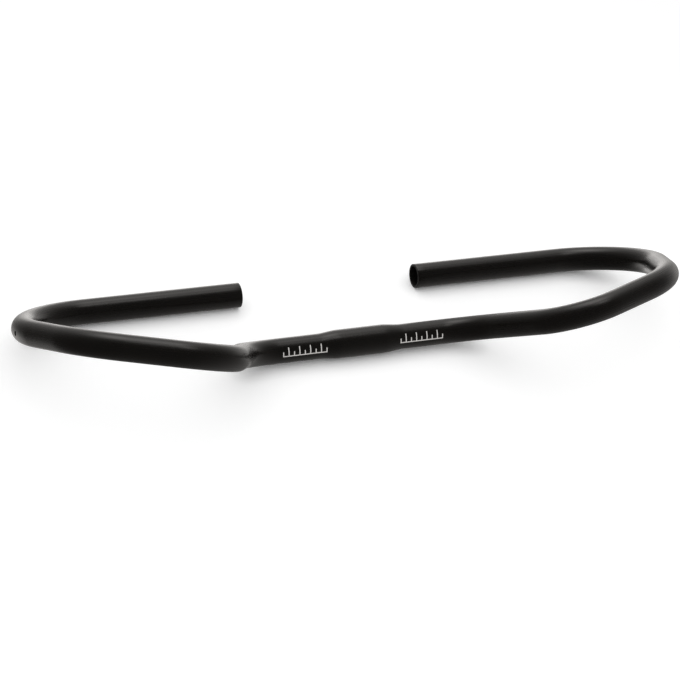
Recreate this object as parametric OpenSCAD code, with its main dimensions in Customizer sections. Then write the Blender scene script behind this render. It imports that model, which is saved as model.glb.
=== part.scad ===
// Trekking handlebar: one aluminium tube, swelled in the middle for the stem clamp and bent
// into a wide raised loop on each side. The open ends face each other across the back.
// Origin: middle of the clamp zone. +X along the bar, +Y towards the rider, +Z up.
// As modelled the bar lies on a flat surface, on its clamp zone and on both grips.

/* [Tube] */
// Outside diameter of the tube
tube_d = 22.2; // [20:0.1:24]
// Wall thickness of the tube
wall = 2; // [1.5:0.1:3]
// Width of the bevels at the open ends
end_bevel = 0.4; // [0.2:0.1:0.6]

/* [Clamp zone] */
// Outside diameter where the stem clamps
clamp_d = 25.4; // [25:0.1:28]
// Length of the zone that has the full clamp diameter
clamp_len = 40; // [30:1:50]
// Length of the swelling on each side of that zone
swell_len = 20; // [12:1:24]

/* [Corners of the centre line] */
// Half distance between the inner corners, where the bar leaves the clamp line
inner_x = 108.5; // [106:0.5:116]
// Half distance between the front corners
front_x = 155.5; // [150:0.5:165]
// How far the front corners lie ahead of the clamp
front_reach = 92.5; // [85:0.5:105]
// How far the front corners lie above the clamp
front_rise = 78; // [60:0.5:90]
// Half distance between the outer corners
outer_x = 267; // [262:0.5:275]
// How far the outer corners lie ahead of the clamp
outer_reach = 50.5; // [44:0.5:56]
// How far the outer corners lie above the clamp
outer_rise = 77; // [60:0.5:90]
// Half distance between the back corners
back_x = 321; // [315:0.5:330]
// How far the grips lie behind the clamp
grip_setback = 83; // [78:0.5:95]
// Half the gap between the open ends
end_x = 85; // [60:0.5:120]

/* [Bends] */
// Bend radius of the centre line at the inner and front corners
tight_r = 47.5; // [40:0.5:50]
// Bend radius of the centre line at the outer and back corners
wide_r = 66; // [55:0.5:68]
// How much thinner the tube is where the bending has drawn it
bend_draw = 0.1; // [0.05:0.05:0.3]

/* [Vent holes] */
// Diameter of the vent hole at the outermost part of each loop
vent_d = 4; // [2:0.5:6]
// How far into the last bend the vent hole sits, in degrees
vent_angle = 15; // [5:1:40]

/* [Hidden] */
$fn = 96;

bore_d = tube_d - 2 * wall;
clamp_bore_d = clamp_d - 2 * wall;
// The grips lie on the same flat surface as the thicker clamp zone
grip_drop = (clamp_d - tube_d) / 2;
corners = [
    [0, 0, 0],
    [inner_x, 0, 0],
    [front_x, -front_reach, front_rise],
    [outer_x, -outer_reach, outer_rise],
    [back_x, grip_setback, -grip_drop],
    [end_x, grip_setback, -grip_drop]
];
bend_radii = [0, tight_r, tight_r, wide_r, wide_r, 0];
last = len(corners) - 1;

function unit(v) = v / norm(v);
// Direction of the straight that leaves corner i
function heading(i) = unit(corners[i + 1] - corners[i]);
// Angle that the tube is bent through at corner i
function bend_angle(i) = i == 0 || i == last ? 0 : acos(heading(i - 1) * heading(i));
// Length that the bend takes from each straight beside corner i
function setback(i) = bend_radii[i] * tan(bend_angle(i) / 2);
// Length of the straight between the bends at corners i and i + 1
function straight_len(i) = norm(corners[i + 1] - corners[i]) - setback(i) - setback(i + 1);
// Normal of the plane of the bend at corner i
function bend_normal(i) = unit(cross(heading(i - 1), heading(i)));
// Angle by which the tube is turned about itself between two bends
function turn_angle(i) =
    let(a = bend_normal(i - 1), b = bend_normal(i))
    atan2(cross(a, b) * heading(i - 1), a * b);

centre_half = straight_len(0);
// The bend plane of the first corner, measured about the clamp line
first_turn = atan2(heading(1)[1], -heading(1)[2]);

// Steps in the curve of the swelling
swell_steps = 6;
// Share of the swelling that is reached at fraction t of its length
function swell_share(t) = (1 - cos(180 * t)) / 2;

// Extra turn in degrees that each bend gets before it is cut flush
over_turn_angle = 3;
cut_size = 2 * clamp_d;
// How far the cutters run past the surfaces that they open
overlap = 1;

// One bend in its own frame: the tube arrives along +Z and is bent towards +X
module bend(i, d, extra_angle) {
    translate([bend_radii[i], 0, 0])
        rotate([90, 0, 180])
            rotate_extrude(angle = bend_angle(i) + extra_angle)
                translate([bend_radii[i], 0])
                    circle(d = d);
}

// Moves its children from the start of bend i to its end
module past_bend(i) {
    translate([bend_radii[i], 0, 0])
        rotate([0, bend_angle(i), 0])
            translate([-bend_radii[i], 0, 0])
                children();
}

// Moves its children from the start of bend i to the start of the next one
module next_bend(i) {
    past_bend(i)
        translate([0, 0, straight_len(i)])
            rotate([0, 0, turn_angle(i + 1)])
                children();
}

// Moves its children from the start of the first bend to the start of bend i
module to_bend(i) {
    if (i > 1)
        to_bend(i - 1)
            next_bend(i - 1)
                children();
    else
        children();
}

// Last straight, from the end of its bend to the open end, where it changes to mouth_d
module end_rod(d, mouth_d, past_end) {
    plain_len = straight_len(last - 1) - end_bevel;
    cylinder(h = plain_len, d = d);
    translate([0, 0, plain_len])
        cylinder(h = end_bevel, d1 = d, d2 = mouth_d);
    if (past_end > 0)
        translate([0, 0, plain_len + end_bevel])
            cylinder(h = past_end, d = mouth_d);
}

// The tube from the start of bend i to its open end, as a solid rod of diameter d
module rod_from(i, d, mouth_d, past_end) {
    difference() {
        bend(i, d - bend_draw, over_turn_angle);
        past_bend(i)
            translate([-cut_size / 2, -cut_size / 2, 0])
                cube([cut_size, cut_size, cut_size / 2]);
    }
    if (i + 1 < last) {
        past_bend(i)
            cylinder(h = straight_len(i), d = d);
        next_bend(i)
            rod_from(i + 1, d, mouth_d, past_end);
    } else {
        past_bend(i)
            end_rod(d, mouth_d, past_end);
    }
}

// Drill through the outer wall of the last bend
module vent_drill() {
    to_bend(last - 1)
        translate([bend_radii[last - 1], 0, 0])
            rotate([0, vent_angle, 0])
                translate([-bend_radii[last - 1] - tube_d / 2 - overlap, 0, 0])
                    rotate([0, 90, 0])
                        cylinder(h = tube_d / 2 + overlap, d = vent_d);
}

// Places its children at the start of the first bend of the right half
module right_half() {
    translate([centre_half, 0, 0])
        rotate([0, 90, 0])
            rotate([0, 0, first_turn])
                children();
}

module both_halves() {
    children();
    mirror([1, 0, 0])
        children();
}

// Half of the swelling's outline, from the thin tube to the clamp zone
function swell_points(d, middle_d) = [
    for (k = [0:swell_steps])
        [
            (d + (middle_d - d) * swell_share(k / swell_steps)) / 2,
            clamp_len / 2 + swell_len * (1 - k / swell_steps)
        ]
];

function reversed(v) = [for (k = [len(v) - 1:-1:0]) v[k]];

// Straight centre piece, swelled around the middle
module centre_rod(d, middle_d) {
    side = swell_points(d, middle_d);
    rotate([0, 90, 0])
        rotate_extrude()
            polygon(concat(
                [[0, centre_half], [d / 2, centre_half]],
                side,
                [for (p = reversed(side)) [p[0], -p[1]]],
                [[d / 2, -centre_half], [0, -centre_half]]
            ));
}

module handlebar() {
    color([0.09, 0.09, 0.09])
        difference() {
            union() {
                centre_rod(tube_d, clamp_d);
                both_halves()
                    right_half()
                        rod_from(1, tube_d, tube_d - 2 * end_bevel, 0);
            }
            union() {
                centre_rod(bore_d, clamp_bore_d);
                both_halves()
                    right_half()
                        rod_from(1, bore_d, bore_d + 2 * end_bevel, overlap);
            }
            both_halves()
                right_half()
                    vent_drill();
        }
}

handlebar();
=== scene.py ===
import math

import bpy
import numpy as np
from mathutils import Matrix, Vector


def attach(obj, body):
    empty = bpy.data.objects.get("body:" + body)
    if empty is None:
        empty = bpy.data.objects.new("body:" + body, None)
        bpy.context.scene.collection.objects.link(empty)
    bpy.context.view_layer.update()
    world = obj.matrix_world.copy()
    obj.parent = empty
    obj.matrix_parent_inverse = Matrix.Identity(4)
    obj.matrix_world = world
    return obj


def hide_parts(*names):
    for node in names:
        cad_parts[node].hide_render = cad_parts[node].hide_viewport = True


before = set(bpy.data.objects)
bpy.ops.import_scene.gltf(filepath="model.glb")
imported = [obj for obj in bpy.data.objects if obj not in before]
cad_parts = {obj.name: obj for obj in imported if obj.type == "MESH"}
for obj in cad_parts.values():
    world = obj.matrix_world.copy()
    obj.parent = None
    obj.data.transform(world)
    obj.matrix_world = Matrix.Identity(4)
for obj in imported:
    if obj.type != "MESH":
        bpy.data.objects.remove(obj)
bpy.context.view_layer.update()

# Handlebar tube.
# One aluminium tube, swelled in the middle for the stem, bent cold into a raised loop on each
# side and sawn off square at both open ends, with a small drilled vent in the outside of each
# loop. It was blasted matt and anodised black after the bending, so bends and ends are black too.
MM = 0.001
TUBE_D = 22.2
WALL = 2.0
CLAMP_D = 25.4
CLAMP_LENGTH = 40.0
SWELL_LENGTH = 20.0
GRIP_DROP = (CLAMP_D - TUBE_D) / 2
# Corners of the centre line of the right half, in millimetres, and the bend radius at each one
CORNERS = np.array([
    (0, 0, 0),
    (108.5, 0, 0),
    (155.5, -92.5, 78),
    (267, -50.5, 77),
    (321, 83, -GRIP_DROP),
    (85, 83, -GRIP_DROP),
])
BEND_RADII = (0, 47.5, 47.5, 66, 66, 0)
LAST_BEND = len(CORNERS) - 2
END_ROUNDING = 0.4
VENT_D = 4.0
VENT_CHAMFER = 0.2
VENT_ANGLE = math.radians(15)
# A bent tube is a little flatter across its bend: share of the diameter that is lost there
BEND_FLATTENING = 0.008
FLATTENING_EASE = 8.0

SIDES = 72
STRAIGHT_STEP = 8.0
SWELL_STEP = 1.0
BEND_STEP = 2.0
# Near the vent the rings are closer, so that its edge is round
VENT_WINDOW = math.radians(6)
VENT_RINGS = 13
VENT_REACH_RINGS = 4
VENT_REACH_SIDES = 5


def unit(vector):
    return vector / np.linalg.norm(vector)


def turned(vector, axis, angle):
    """The vector turned about a unit axis."""
    return (
        vector * math.cos(angle)
        + np.cross(axis, vector) * math.sin(angle)
        + axis * (axis @ vector) * (1 - math.cos(angle))
    )


def steps(start, end, longest):
    """Even steps from start to end, none longer than given, both ends included."""
    return np.linspace(start, end, max(1, math.ceil((end - start) / longest)) + 1)


class Ring:
    """A place on the centre line: how far along, where, which way the tube runs and its top.

    In a bend it also has the angle of the bend's outside, and how much of the bend's flattening
    it has.
    """

    def __init__(self, along, centre, ahead, top, outward=None, bend_share=0.0):
        self.along = along
        self.centre = centre
        self.ahead = ahead
        self.top = top
        self.front = np.cross(ahead, top)
        self.outward = outward
        self.bend_share = bend_share

    def point(self, radius, angle, forward=0.0):
        """A point at that radius, at an angle from the top towards the front."""
        if self.outward is not None:
            across = angle - self.outward
            radius *= 1 - BEND_FLATTENING * self.bend_share * math.cos(across) ** 2
        aside = math.cos(angle) * self.top + math.sin(angle) * self.front
        return self.centre + radius * aside + forward * self.ahead


class Bend:
    """The bend at one corner of the centre line."""

    def __init__(self, corner):
        before = unit(CORNERS[corner] - CORNERS[corner - 1])
        after = unit(CORNERS[corner + 1] - CORNERS[corner])
        self.radius = BEND_RADII[corner]
        self.angle = math.acos(before @ after)
        self.normal = unit(np.cross(before, after))
        self.setback = self.radius * math.tan(self.angle / 2)

    def ring(self, start, turn):
        """The ring reached from the bend's first ring after turning so far."""
        inward = np.cross(self.normal, start.ahead)
        pivot = start.centre + self.radius * inward
        from_end = min(turn, self.angle - turn) * self.radius
        t = min(1.0, max(0.0, from_end / FLATTENING_EASE))
        return Ring(
            start.along + turn * self.radius,
            pivot + turned(-self.radius * inward, self.normal, turn),
            turned(start.ahead, self.normal, turn),
            turned(start.top, self.normal, turn),
            math.atan2(-inward @ start.front, -inward @ start.top),
            t * t * (3 - 2 * t),
        )


def vent_turns(bend):
    """The turns of the last bend's rings, with closer ones around the vent."""
    low, high = VENT_ANGLE - VENT_WINDOW, VENT_ANGLE + VENT_WINDOW
    longest = BEND_STEP / bend.radius
    return np.concatenate([
        steps(0, low, longest)[:-1],
        np.linspace(low, high, VENT_RINGS),
        steps(high, bend.angle, longest)[1:],
    ])


def half_centre_line():
    """Rings of the right half up to the end's rounding, the last bend, and its first ring."""
    bends = [None] + [Bend(corner) for corner in range(1, LAST_BEND + 1)]
    rings = []
    start = Ring(0.0, CORNERS[0].astype(float), np.array([1.0, 0, 0]), np.array([0, 0, 1.0]))
    for corner in range(len(CORNERS) - 1):
        length = np.linalg.norm(CORNERS[corner + 1] - CORNERS[corner])
        length -= bends[corner].setback if corner > 0 else 0
        length -= bends[corner + 1].setback if corner < LAST_BEND else END_ROUNDING
        if corner == 0:
            swell_start = CLAMP_LENGTH / 2
            swell_end = swell_start + SWELL_LENGTH
            places = np.concatenate([
                steps(0, swell_start, STRAIGHT_STEP)[:-1],
                steps(swell_start, swell_end, SWELL_STEP),
                steps(swell_end, length, STRAIGHT_STEP)[1:],
            ])
        else:
            places = steps(0, length, STRAIGHT_STEP)[1:]
        for place in places:
            centre = start.centre + place * start.ahead
            rings.append(Ring(start.along + place, centre, start.ahead, start.top))
        if corner == LAST_BEND:
            break
        bend, first = bends[corner + 1], rings[-1]
        if corner + 1 == LAST_BEND:
            turns = vent_turns(bend)
        else:
            turns = steps(0, bend.angle, BEND_STEP / bend.radius)
        rings += [bend.ring(first, turn) for turn in turns[1:]]
        start = rings[-1]
    return rings, bend, first


def outer_radius(along):
    """Outside radius of the tube, with the swelling to the clamp zone."""
    t = min(1.0, max(0.0, (along - CLAMP_LENGTH / 2) / SWELL_LENGTH))
    swelling = (1 + math.cos(math.pi * t)) / 2
    return (TUBE_D + (CLAMP_D - TUBE_D) * swelling) / 2


class HalfTube:
    """Points and faces of the right half of the tube.

    Each face corner has its place, along and around the tube. Each face is told apart as
    outside, which was blasted, or inside, which was only drawn, sawn or drilled.
    """

    def __init__(self):
        self.points, self.faces, self.corners, self.inside = [], [], [], []
        self.angles = [2 * math.pi * side / SIDES - math.pi for side in range(SIDES + 1)]

    def add_point(self, point):
        self.points.append(point)
        return len(self.points) - 1

    def add_face(self, corners, places, inside=False):
        self.faces.append(corners)
        self.corners.append(places)
        self.inside.append(inside)

    def add_ring(self, ring, radius, forward=0.0):
        """One ring of points, and the way along and around at each."""
        numbers = [self.add_point(ring.point(radius, a, forward)) for a in self.angles[:-1]]
        along = ring.along + forward
        return numbers, [(along, a) for a in self.angles]

    def join(self, a, b, inside=False, left_out=()):
        """Faces between two rings of points, apart from the sides left out."""
        (first, first_place), (second, second_place) = a, b
        for side in range(SIDES):
            if side not in left_out:
                after = (side + 1) % SIDES
                self.add_face(
                    (first[side], first[after], second[after], second[side]),
                    (first_place[side], first_place[side + 1],
                     second_place[side + 1], second_place[side]),
                    inside,
                )


def build_half():
    """The right half: outer skin, rounded end, bore and vent hole."""
    half = HalfTube()
    line, bend, first = half_centre_line()
    skin = [half.add_ring(ring, outer_radius(ring.along)) for ring in line]
    bore = [half.add_ring(ring, outer_radius(ring.along) - WALL) for ring in line]
    outer_r, bore_r = TUBE_D / 2, TUBE_D / 2 - WALL

    # The patch of both skins that the vent goes through
    vent_along = first.along + VENT_ANGLE * bend.radius
    middle_ring = min(range(len(line)), key=lambda k: abs(line[k].along - vent_along))
    outward = line[middle_ring].outward
    middle_side = min(range(SIDES), key=lambda k: abs(half.angles[k] - outward))
    ring_span = range(middle_ring - VENT_REACH_RINGS, middle_ring + VENT_REACH_RINGS)
    side_span = range(middle_side - VENT_REACH_SIDES, middle_side + VENT_REACH_SIDES)

    for k in range(len(line) - 1):
        left_out = side_span if k in ring_span else ()
        half.join(skin[k], skin[k + 1], False, left_out)
        half.join(bore[k + 1], bore[k], True, left_out)

    # The sawn end, with its edges rounded by the finishing
    quarter = [math.radians(a) for a in (22.5, 45, 67.5, 90)]
    end = [skin[-1]]
    for a in quarter:
        radius = outer_r - END_ROUNDING * (1 - math.cos(a))
        end.append(half.add_ring(line[-1], radius, END_ROUNDING * math.sin(a)))
    for a in reversed(quarter):
        radius = bore_r + END_ROUNDING * (1 - math.cos(a))
        end.append(half.add_ring(line[-1], radius, END_ROUNDING * math.sin(a)))
    end.append(bore[-1])
    for a, b in zip(end[:-1], end[1:]):
        half.join(a, b, inside=a is not skin[-1])

    # The vent: loops of points that go from the patch's border to the drilled edge
    border = [(k, side_span.start) for k in range(ring_span.start, ring_span.stop)]
    border += [(ring_span.stop, s) for s in range(side_span.start, side_span.stop)]
    border += [(k, side_span.stop) for k in range(ring_span.stop, ring_span.start, -1)]
    border += [(ring_span.start, s) for s in range(side_span.stop, side_span.start, -1)]

    def offsets(k, side, radius):
        """How far a border point lies from the drill's axis, along the tube and around it."""
        turn = (line[k].along - first.along) / bend.radius - VENT_ANGLE
        across = half.angles[side] - outward
        reach = bend.radius + radius * math.cos(across)
        return reach * math.sin(turn), radius * math.sin(across)

    def vent_point(aside, around, radius):
        """The point of a skin of that radius at those offsets from the drill's axis."""
        across = math.asin(around / radius)
        turn = math.asin(aside / (bend.radius + radius * math.cos(across)))
        ring = bend.ring(first, VENT_ANGLE + turn)
        point = ring.point(radius, outward + across)
        return point, (ring.along, outward + across)

    def loop_at(radius, share, hole_radius, depth=0.0):
        """A closed loop between the border, at share 0, and the circle of the hole, at 1."""
        numbers, places = [], []
        drill = np.cross(bend.normal, turned(first.ahead, bend.normal, VENT_ANGLE))
        for k, side in border:
            aside, around = offsets(k, side, radius)
            out = math.hypot(aside, around)
            scale = (1 - share) + share * hole_radius / out
            point, place = vent_point(aside * scale, around * scale, radius)
            numbers.append(half.add_point(point + depth * drill))
            places.append(place)
        return numbers, places

    def border_loop(rings):
        """The patch's border as a loop of points of the outside or of the bore."""
        return [rings[k][0][s] for k, s in border], [rings[k][1][s] for k, s in border]

    def join_loops(a, b, inside):
        (first_loop, first_place), (second_loop, second_place) = a, b
        for n in range(len(border)):
            after = (n + 1) % len(border)
            half.add_face(
                (first_loop[n], second_loop[n], second_loop[after], first_loop[after]),
                (first_place[n], second_place[n], second_place[after], first_place[after]),
                inside,
            )

    edge = VENT_D / 2 + VENT_CHAMFER
    outer_loops = [border_loop(skin)]
    outer_loops += [loop_at(outer_r, share, edge) for share in (0.4, 0.75, 1.0)]
    outer_loops.append(loop_at(outer_r, 1.0, VENT_D / 2, VENT_CHAMFER))
    inner_loops = [loop_at(bore_r, share, VENT_D / 2) for share in (1.0, 0.6)]
    inner_loops.append(border_loop(bore))
    for a, b in zip(outer_loops[:-1], outer_loops[1:]):
        join_loops(a, b, inside=False)
    for a, b in zip([outer_loops[-1]] + inner_loops[:-1], inner_loops):
        join_loops(a, b, inside=True)
    return half


def build_tube():
    """The whole tube: the right half and its mirror image, joined at the middle ring."""
    half = build_half()
    points = np.array(half.points)
    count = len(points)
    shared = np.abs(points[:, 0]) < 1e-6
    mirror_number = np.where(shared, np.arange(count), -1)
    mirror_number[~shared] = count + np.arange(count - shared.sum())
    flipped = points[~shared] * (-1, 1, 1)
    faces = half.faces + [tuple(int(mirror_number[n]) for n in face[::-1]) for face in half.faces]
    corners = half.corners + [tuple((-p[0], p[1]) for p in face[::-1]) for face in half.corners]
    mesh = bpy.data.meshes.new("handlebar_tube")
    mesh.from_pydata((np.concatenate([points, flipped]) * MM).tolist(), [], faces)
    way = mesh.uv_layers.new(name="along_and_around")
    flat = np.array([place for face in corners for place in face], dtype=np.float32)
    way.data.foreach_set("uv", flat.ravel())
    mesh.polygons.foreach_set("use_smooth", [True] * len(mesh.polygons))
    mesh.polygons.foreach_set("material_index", [int(inside) for inside in half.inside] * 2)
    mesh.update()
    mesh.set_sharp_from_angle(angle=math.radians(35))
    return mesh


tube = bpy.data.objects.new("handlebar_tube", build_tube())
bpy.context.scene.collection.objects.link(tube)


def linear(hex_colour):
    """An sRGB hex colour as linear values with full opacity."""
    channels = [int(hex_colour[k:k + 2], 16) / 255 for k in (1, 3, 5)]
    light = [c / 12.92 if c <= 0.04045 else ((c + 0.055) / 1.055) ** 2.4 for c in channels]
    return (*light, 1.0)


def add_node(tree, kind, inputs=None, **settings):
    """Adds a node. inputs gives each input a value, or another node's output to link."""
    node = tree.nodes.new(kind)
    for name, value in settings.items():
        setattr(node, name, value)
    for name, value in (inputs or {}).items():
        if isinstance(value, bpy.types.NodeSocket):
            tree.links.new(value, node.inputs[name])
        else:
            node.inputs[name].default_value = value
    return node


def new_material(name):
    """An empty material with nodes, and its node tree."""
    material = bpy.data.materials.new(name)
    material.use_nodes = True
    material.node_tree.nodes.clear()
    return material, material.node_tree


# Black dye in a clear oxide film: the colour is nearly even, with a trace of brown
ANODISED_BLACK = "#0c0a08"
ANODISED_BROWN = "#110d09"
SHEEN_FINE, SHEEN_COARSE = 0.25, 0.31
CLOUD_MM = 35.0
# The blasted grain is about 0.1 mm across and is drawn eight times as coarse, so that it shows
GRAIN_MM, GRAIN_DEPTH_MM = 0.8, 0.035
# Lines that drawing left along the tube, softened by the blasting
LINE_LENGTH_MM, LINE_WIDTH_MM, LINE_DEPTH_MM = 70.0, 1.1, 0.012
# A plain printed scale on each side of the clamp zone, to set the bar level in its stem
PRINT_WHITE = "#d2cfcc"
SCALE_START, SCALE_END = 35.0, 75.0
TICK_PITCH, TICK_WIDTH = 5.0, 0.9
# Angles from the tube's top towards its front
TICK_BASE, TICK_TOP_SHORT, TICK_TOP_LONG = math.radians(76), math.radians(58), math.radians(38)


def between(tree, value, low, high):
    """1 where the value lies between two limits, 0 elsewhere."""
    above = add_node(tree, "ShaderNodeMath", {0: value, 1: low}, operation="GREATER_THAN")
    below = add_node(tree, "ShaderNodeMath", {0: value, 1: high}, operation="LESS_THAN")
    return add_node(tree, "ShaderNodeMath", {
        0: above.outputs[0], 1: below.outputs[0]}, operation="MULTIPLY").outputs[0]


def printed_scale(tree, along, around):
    """1 where the printed scale's ticks and base line are, 0 elsewhere."""
    half = TICK_WIDTH / 2
    from_middle = add_node(tree, "ShaderNodeMath", {0: along}, operation="ABSOLUTE").outputs[0]
    zone = between(tree, from_middle, SCALE_START - half, SCALE_END + half)
    marks = between(tree, around, TICK_BASE, TICK_BASE + TICK_WIDTH / (TUBE_D / 2))
    for pitch, top in ((TICK_PITCH, TICK_TOP_SHORT), (2 * TICK_PITCH, TICK_TOP_LONG)):
        offset = add_node(tree, "ShaderNodeMath", {
            0: from_middle, 1: -pitch / 2, 2: pitch / 2}, operation="WRAP").outputs[0]
        stripe = between(tree, offset, -half, half)
        height = between(tree, around, top, TICK_BASE)
        tick = add_node(tree, "ShaderNodeMath", {0: stripe, 1: height}, operation="MULTIPLY")
        marks = add_node(tree, "ShaderNodeMath", {
            0: marks, 1: tick.outputs[0]}, operation="MAXIMUM").outputs[0]
    return add_node(tree, "ShaderNodeMath", {
        0: marks, 1: zone}, operation="MULTIPLY").outputs[0]


def drawing_lines(tree, along, around):
    """Noise stretched along the tube, the same all round it."""
    aside = add_node(tree, "ShaderNodeMath", {0: around}, operation="COSINE").outputs[0]
    upward = add_node(tree, "ShaderNodeMath", {0: around}, operation="SINE").outputs[0]
    along_scaled = add_node(tree, "ShaderNodeMath", {
        0: along, 1: 1 / LINE_LENGTH_MM}, operation="MULTIPLY").outputs[0]
    wrapped = [add_node(tree, "ShaderNodeMath", {
        0: value, 1: TUBE_D / 2 / LINE_WIDTH_MM}, operation="MULTIPLY").outputs[0]
        for value in (aside, upward)]
    vector = add_node(tree, "ShaderNodeCombineXYZ", {
        "X": along_scaled, "Y": wrapped[0], "Z": wrapped[1]})
    return add_node(tree, "ShaderNodeTexNoise", {
        "Vector": vector.outputs[0], "Scale": 1.0, "Detail": 1.0}).outputs["Fac"]


def black_anodised_aluminium():
    """Blasted and anodised: a dyed oxide film, so a dull black with a soft, glassy sheen."""
    material, tree = new_material("black_anodised_aluminium")
    way = add_node(tree, "ShaderNodeUVMap", uv_map="along_and_around").outputs["UV"]
    split = add_node(tree, "ShaderNodeSeparateXYZ", {"Vector": way})
    along, around = split.outputs["X"], split.outputs["Y"]
    place = add_node(tree, "ShaderNodeTexCoord").outputs["Object"]
    cloud = add_node(tree, "ShaderNodeTexNoise", {
        "Vector": place, "Scale": 1 / (CLOUD_MM * MM), "Detail": 2.0}).outputs["Fac"]
    grain = add_node(tree, "ShaderNodeTexNoise", {
        "Vector": place, "Scale": 1 / (GRAIN_MM * MM), "Detail": 2.0}).outputs["Fac"]
    lines = drawing_lines(tree, along, around)
    print_mask = printed_scale(tree, along, around)

    black = add_node(tree, "ShaderNodeMix", {
        "Factor": cloud, "A": linear(ANODISED_BLACK), "B": linear(ANODISED_BROWN)},
        data_type="RGBA")
    colour = add_node(tree, "ShaderNodeMix", {
        "Factor": print_mask, "A": black.outputs["Result"], "B": linear(PRINT_WHITE)},
        data_type="RGBA")
    mottle = add_node(tree, "ShaderNodeMix", {"Factor": 0.5, "A": cloud, "B": lines})
    sheen = add_node(tree, "ShaderNodeMapRange", {
        "Value": mottle.outputs["Result"], "From Min": 0.35, "From Max": 0.65,
        "To Min": SHEEN_FINE, "To Max": SHEEN_COARSE})
    lined = add_node(tree, "ShaderNodeBump", {
        "Height": lines, "Strength": 1.0, "Distance": LINE_DEPTH_MM * MM})
    grained = add_node(tree, "ShaderNodeBump", {
        "Height": grain, "Strength": 1.0, "Distance": GRAIN_DEPTH_MM * MM,
        "Normal": lined.outputs["Normal"]})
    skin = add_node(tree, "ShaderNodeBsdfPrincipled", {
        "Base Color": colour.outputs["Result"],
        "Roughness": sheen.outputs["Result"],
        "IOR": 1.5,
        "Normal": grained.outputs["Normal"],
    })
    add_node(tree, "ShaderNodeOutputMaterial", {"Surface": skin.outputs["BSDF"]})
    return material


# The bore and the sawn ends were never blasted: they are as black, but rough from the die and
# the saw, so they look duller than the outside
BORE_BLACK = "#0b0a09"
BORE_LINES = "#110f0d"
BORE_ROUGHNESS = 0.65


def anodised_bore():
    """Drawn or sawn, and anodised: dull black with fine lines along the tube."""
    material, tree = new_material("anodised_bore")
    way = add_node(tree, "ShaderNodeUVMap", uv_map="along_and_around").outputs["UV"]
    split = add_node(tree, "ShaderNodeSeparateXYZ", {"Vector": way})
    lines = drawing_lines(tree, split.outputs["X"], split.outputs["Y"])
    colour = add_node(tree, "ShaderNodeMix", {
        "Factor": lines, "A": linear(BORE_BLACK), "B": linear(BORE_LINES)}, data_type="RGBA")
    lined = add_node(tree, "ShaderNodeBump", {
        "Height": lines, "Strength": 1.0, "Distance": LINE_DEPTH_MM * MM})
    skin = add_node(tree, "ShaderNodeBsdfPrincipled", {
        "Base Color": colour.outputs["Result"],
        "Roughness": BORE_ROUGHNESS,
        "IOR": 1.5,
        "Normal": lined.outputs["Normal"],
    })
    add_node(tree, "ShaderNodeOutputMaterial", {"Surface": skin.outputs["BSDF"]})
    return material


tube.data.materials.append(black_anodised_aluminium())
tube.data.materials.append(anodised_bore())
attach(tube, "root")
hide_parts("handlebar")

# Floor.
# A plain white studio sheet that the bar lies on, with its clamp zone and both grips. It fades
# into the white around it, so that it shows no edge and no horizon.
FLOOR_Z = -CLAMP_D / 2
FLOOR_SIZE = 3000.0
FLOOR_WHITE = "#f0f0f0"
# White added for the eye only, so that the paper shows white where no shadow falls on it
FLOOR_LIFT = 0.3
# How far, in millimetres, the painted contact shadow reaches out from what lies on the paper
PAINTED_CONTACT_SHADOW_REACH = 15.0
FADE_START, FADE_END = 350.0, 800.0


def seen_directly(tree, ray):
    """1 for rays that come to the eye straight or through glass, 0 for all others."""
    return add_node(tree, "ShaderNodeMath", {
        0: ray.outputs["Is Camera Ray"], 1: ray.outputs["Is Transmission Ray"],
    }, operation="MAXIMUM").outputs[0]


def white_paper():
    """Matt white background paper: it takes soft shadows and shows white where none falls."""
    material, tree = new_material("white_paper")
    ray = add_node(tree, "ShaderNodeLightPath")
    place = add_node(tree, "ShaderNodeTexCoord").outputs["Object"]
    distance = add_node(tree, "ShaderNodeVectorMath", {0: place}, operation="LENGTH")
    fade = add_node(tree, "ShaderNodeMapRange", {
        "Value": distance.outputs["Value"],
        "From Min": FADE_START * MM, "From Max": FADE_END * MM}, interpolation_type="SMOOTHSTEP")
    paper = add_node(tree, "ShaderNodeBsdfDiffuse", {"Color": linear(FLOOR_WHITE)})
    # The lift is held back close to what lies on the paper, which paints a dark contact shadow on
    # top of the shadow that the light casts there
    open_sky = add_node(
        tree, "ShaderNodeAmbientOcclusion", {"Distance": PAINTED_CONTACT_SHADOW_REACH * MM}, samples=2)
    held = add_node(tree, "ShaderNodeMath", {
        0: open_sky.outputs["AO"], 1: FLOOR_LIFT}, operation="MULTIPLY")
    lift = add_node(tree, "ShaderNodeEmission", {"Strength": held.outputs[0]})
    lit = add_node(tree, "ShaderNodeAddShader", {0: paper.outputs[0], 1: lift.outputs[0]})
    white = add_node(tree, "ShaderNodeEmission", {"Strength": 1.0})
    to_the_eye = add_node(tree, "ShaderNodeMixShader", {
        0: fade.outputs["Result"], 1: lit.outputs[0], 2: white.outputs[0]})
    seen = add_node(tree, "ShaderNodeMixShader", {
        0: seen_directly(tree, ray), 1: paper.outputs[0], 2: to_the_eye.outputs[0]})
    # In the tube's sheen the paper shows as the studio's light from below
    clear = add_node(tree, "ShaderNodeBsdfTransparent")
    surface = add_node(tree, "ShaderNodeMixShader", {
        0: ray.outputs["Is Glossy Ray"], 1: seen.outputs[0], 2: clear.outputs[0]})
    add_node(tree, "ShaderNodeOutputMaterial", {"Surface": surface.outputs[0]})
    return material


bpy.ops.mesh.primitive_plane_add(size=FLOOR_SIZE * MM, location=(0, 0, FLOOR_Z * MM))
floor = bpy.context.object
floor.name = "floor"
floor.data.materials.append(white_paper())

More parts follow.
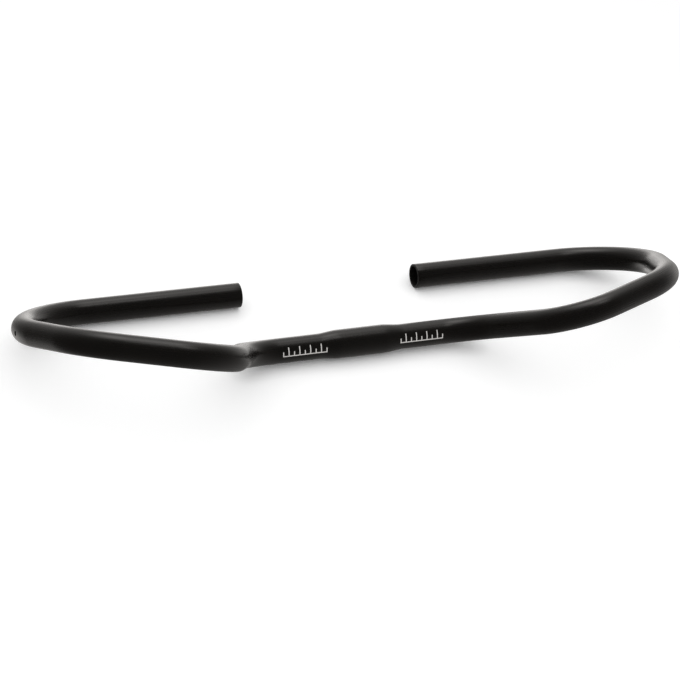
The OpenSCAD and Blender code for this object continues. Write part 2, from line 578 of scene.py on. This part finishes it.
# Studio.
# Even white light all round, and in the tube's sheen the lights and white surfaces of a studio
# that is bright behind the bar and dark on the camera's side. Each one is brightest in its
# middle and fades outwards, faster with a higher sharpness.
STUDIO_LIGHTS = [
    # name, azimuth from straight behind the bar to the right, elevation, sharpness, strength
    ("backdrop", 12, 27, 4, 0.75),
    ("overhead_softbox", 60, 76, 130, 2.9),
    ("rear_softbox", 4, 56, 26, 2.7),
    ("foot_of_the_backdrop", 20, -16, 30, 1.8),
    ("backdrop_at_the_right", 60, -8, 16, 0.6),
    ("paper_behind", -30, -43, 24, 1.1),
    ("paper_below", 12, -46, 50, 1.0),
    ("paper_at_the_side", 110, -45, 2.5, 0.33),
]
STUDIO_DARK = 0.04
STUDIO_TINT = "#fffcf9"
EVEN_LIGHT = 0.95


def direction(azimuth, elevation):
    """Unit vector away from the camera's side, turned to the right and up, in degrees."""
    a, e = math.radians(azimuth), math.radians(elevation)
    return Vector((math.sin(a) * math.cos(e), math.cos(a) * math.cos(e), math.sin(e)))


world = bpy.data.worlds.new("studio")
bpy.context.scene.world = world
world.use_nodes = True
# The world is found by each ray itself, so that every ray sees what is meant for its kind
world.cycles.sampling_method = "NONE"
studio = world.node_tree
studio.nodes.clear()
ray = add_node(studio, "ShaderNodeLightPath")
look = add_node(studio, "ShaderNodeTexCoord").outputs["Generated"]
total = STUDIO_DARK
for name, azimuth, elevation, sharpness, strength in STUDIO_LIGHTS:
    nearness = add_node(studio, "ShaderNodeVectorMath", {
        0: look, 1: direction(azimuth, elevation)}, operation="DOT_PRODUCT")
    power = add_node(studio, "ShaderNodeMath", {
        0: nearness.outputs["Value"], 1: sharpness, 2: -sharpness}, operation="MULTIPLY_ADD")
    light = add_node(studio, "ShaderNodeMath", {0: power.outputs[0]}, operation="EXPONENT")
    total = add_node(studio, "ShaderNodeMath", {
        0: light.outputs[0], 1: strength, 2: total}, operation="MULTIPLY_ADD", label=name
    ).outputs[0]
sheen = add_node(studio, "ShaderNodeBackground", {
    "Color": linear(STUDIO_TINT), "Strength": total})
even = add_node(studio, "ShaderNodeBackground", {"Color": (1, 1, 1, 1), "Strength": EVEN_LIGHT})
white = add_node(studio, "ShaderNodeBackground", {"Color": (1, 1, 1, 1), "Strength": 1.0})
lit = add_node(studio, "ShaderNodeMixShader", {
    0: ray.outputs["Is Glossy Ray"], 1: even.outputs[0], 2: sheen.outputs[0]})
all_rays = add_node(studio, "ShaderNodeMixShader", {
    0: seen_directly(studio, ray), 1: lit.outputs[0], 2: white.outputs[0]})
add_node(studio, "ShaderNodeOutputWorld", {"Surface": all_rays.outputs[0]})

# Camera.
# It looks down on the bar from the front left, as the photograph does, and is rolled a little,
# because there the bar is balanced on its clamp zone instead of lying on its grips too.
CAMERA_AZIMUTH = -26.529
CAMERA_ELEVATION = 38.307
CAMERA_ROLL = -10.446
CAMERA_AIM = (-15.80, 6.57, -1.50)
CAMERA_DISTANCE = 1923.5
IMAGE_WIDTH = 680
FOCAL_PIXELS = 2187.85

camera = bpy.data.cameras.new("camera")
camera.sensor_width = 36.0
camera.lens = camera.sensor_width * FOCAL_PIXELS / IMAGE_WIDTH
camera.clip_start, camera.clip_end = 0.05, 20.0
camera_stand = bpy.data.objects.new("camera", camera)
bpy.context.scene.collection.objects.link(camera_stand)
a, e = math.radians(CAMERA_AZIMUTH), math.radians(CAMERA_ELEVATION)
back = Vector((math.sin(a) * math.cos(e), -math.cos(a) * math.cos(e), math.sin(e)))
level_right = (-back).cross(Vector((0, 0, 1))).normalized()
level_up = back.cross(level_right)
roll = math.radians(CAMERA_ROLL)
right = level_right * math.cos(roll) - level_up * math.sin(roll)
up = back.cross(right)
camera_stand.matrix_world = Matrix.Translation(
    (Vector(CAMERA_AIM) + back * CAMERA_DISTANCE) * MM
) @ Matrix((right, up, back)).transposed().to_4x4()
bpy.context.scene.camera = camera_stand

bpy.context.scene.view_settings.view_transform = "Standard"
